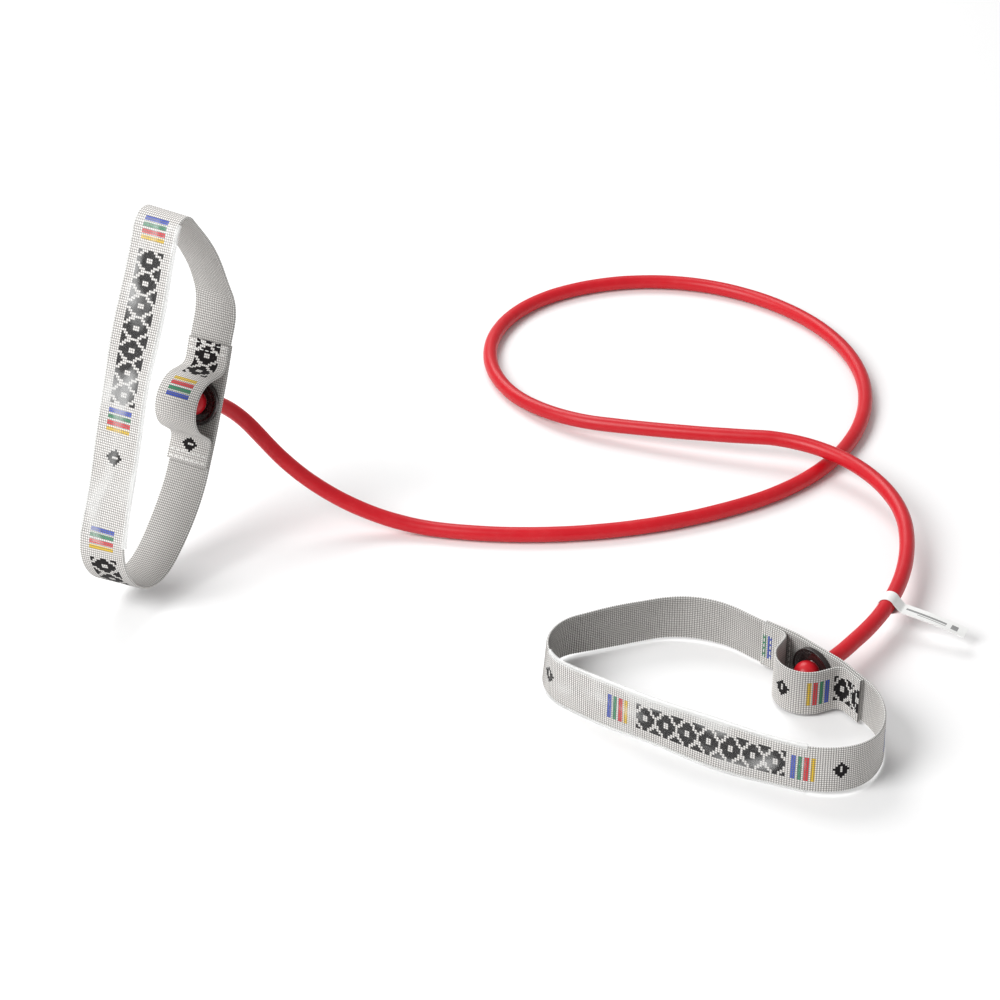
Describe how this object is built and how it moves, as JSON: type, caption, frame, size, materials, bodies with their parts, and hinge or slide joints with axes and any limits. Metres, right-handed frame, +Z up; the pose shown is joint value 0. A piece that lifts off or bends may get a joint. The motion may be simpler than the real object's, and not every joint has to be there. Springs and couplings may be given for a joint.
{
  "type": "resistance band",
  "caption": "Red rubber exercise tube lying in an open loop, with a webbing hand loop held on each end by a ball stop and washer.",
  "frame": {"origin": "middle of the footprint of the whole object as it lies, on the floor", "axes": "+X to the right from the upright hand loop towards the lying one, +Y away from the lying hand loop, +Z up"},
  "size_m": [0.4972, 0.5493, 0.2201],
  "materials": {
    "tube_rubber": "satin red latex, dusty along the top",
    "plug_plastic": "plain moulded black",
    "washer_plastic": "glossy moulded black",
    "webbing": "ribbed light grey weave with a woven band of black blocks and small colour bars",
    "sleeve_vinyl": "milky soft vinyl, see-through, glossy",
    "sewing_thread": "white polyester thread",
    "tag_satin": "white satin label ribbon"
  },
  "bodies": {
    "loop": {"tube_loop": "tube_rubber"},
    "front_run": {"tube_front_run": "tube_rubber"},
    "left_rise": {"tube_left_rise": "tube_rubber"},
    "left_tube_end": {"left_tube_end": "tube_rubber", "left_plug": "plug_plastic"},
    "left_washer": {"left_washer": "washer_plastic"},
    "left_hand": {"left_strap": "webbing", "left_cover_strap": "webbing", "left_grip_sleeve": "sleeve_vinyl", "left_cover_stitching": "sewing_thread", "left_lap_stitching": "sewing_thread"},
    "left_bend": {"tube_left_bend": "tube_rubber"},
    "middle_run": {"tube_middle_run": "tube_rubber"},
    "right_bend": {"tube_right_bend": "tube_rubber"},
    "right_run": {"tube_right_run": "tube_rubber"},
    "right_tube_end": {"right_tube_end": "tube_rubber", "right_plug": "plug_plastic"},
    "right_washer": {"right_washer": "washer_plastic"},
    "right_hand": {"right_strap": "webbing", "right_cover_strap": "webbing", "right_grip_sleeve": "sleeve_vinyl", "right_cover_stitching": "sewing_thread", "right_lap_stitching": "sewing_thread"},
    "tag": {"label_tag": "tag_satin", "label_stitching": "sewing_thread"}
  },
  "joints": [
    {"name": "front_run_bend", "type": "hinge", "parent": "loop", "child": "front_run", "pos_m": [0.13935, -0.00083, 0.0045], "axis": [0, 0, 1], "range_deg": [-15, 15], "stiffness_Nm_per_rad": 0.002},
    {"name": "left_lift", "type": "hinge", "parent": "front_run", "child": "left_rise", "pos_m": [-0.0482, -0.032, 0.0045], "axis": [0.1994, 0.9799, 0], "range_deg": [0, 50], "stiffness_Nm_per_rad": 0.002},
    {"name": "left_stretch", "type": "slide", "parent": "left_rise", "child": "left_tube_end", "axis": [-0.6734, 0.263, 0.6909], "range_m": [0, 0.25], "stiffness_N_per_m": 85},
    {"name": "left_hand_tilt", "type": "hinge", "parent": "left_tube_end", "child": "left_washer", "pos_m": [-0.18884, -0.03306, 0.09295], "axis": [0.8712, -0.4908, 0.0154], "range_deg": [-8, 8]},
    {"name": "left_hand_swivel", "type": "hinge", "parent": "left_washer", "child": "left_hand", "pos_m": [-0.18884, -0.03306, 0.09295], "axis": [-0.4497, -0.785, 0.4261], "continuous": true},
    {"name": "left_bend_turn", "type": "hinge", "parent": "loop", "child": "left_bend", "pos_m": [0.02552, 0.25303, 0.0045], "axis": [0, 0, 1], "range_deg": [-6, 6], "stiffness_Nm_per_rad": 0.002},
    {"name": "middle_turn", "type": "hinge", "parent": "left_bend", "child": "middle_run", "pos_m": [-0.00368, 0.12131, 0.0045], "axis": [0, 0, 1], "range_deg": [-5, 5], "stiffness_Nm_per_rad": 0.002},
    {"name": "right_bend_turn", "type": "hinge", "parent": "middle_run", "child": "right_bend", "pos_m": [0.15003, 0.05257, 0.016], "axis": [0, 0, 1], "range_deg": [-12, 12], "stiffness_Nm_per_rad": 0.002},
    {"name": "right_lift", "type": "hinge", "parent": "right_bend", "child": "right_run", "pos_m": [0.22338, -0.04676, 0.0153], "axis": [-0.9997, 0.0262, 0], "range_deg": [0, 40], "stiffness_Nm_per_rad": 0.002},
    {"name": "right_stretch", "type": "slide", "parent": "right_run", "child": "right_tube_end", "axis": [-0.6018, -0.7986, 0], "range_m": [0, 0.25], "stiffness_N_per_m": 85},
    {"name": "right_hand_tilt", "type": "hinge", "parent": "right_tube_end", "child": "right_washer", "pos_m": [0.15336, -0.18979, 0.0153], "axis": [0, 0, 1], "range_deg": [-8, 8]},
    {"name": "right_hand_swivel", "type": "hinge", "parent": "right_washer", "child": "right_hand", "pos_m": [0.15336, -0.18979, 0.0153], "axis": [-0.7431, -0.6691, 0], "continuous": true},
    {"name": "tag_swivel", "type": "hinge", "parent": "right_run", "child": "tag", "pos_m": [0.20523, -0.12237, 0.0153], "axis": [-0.4305, -0.9026, 0], "continuous": true}
  ]
}
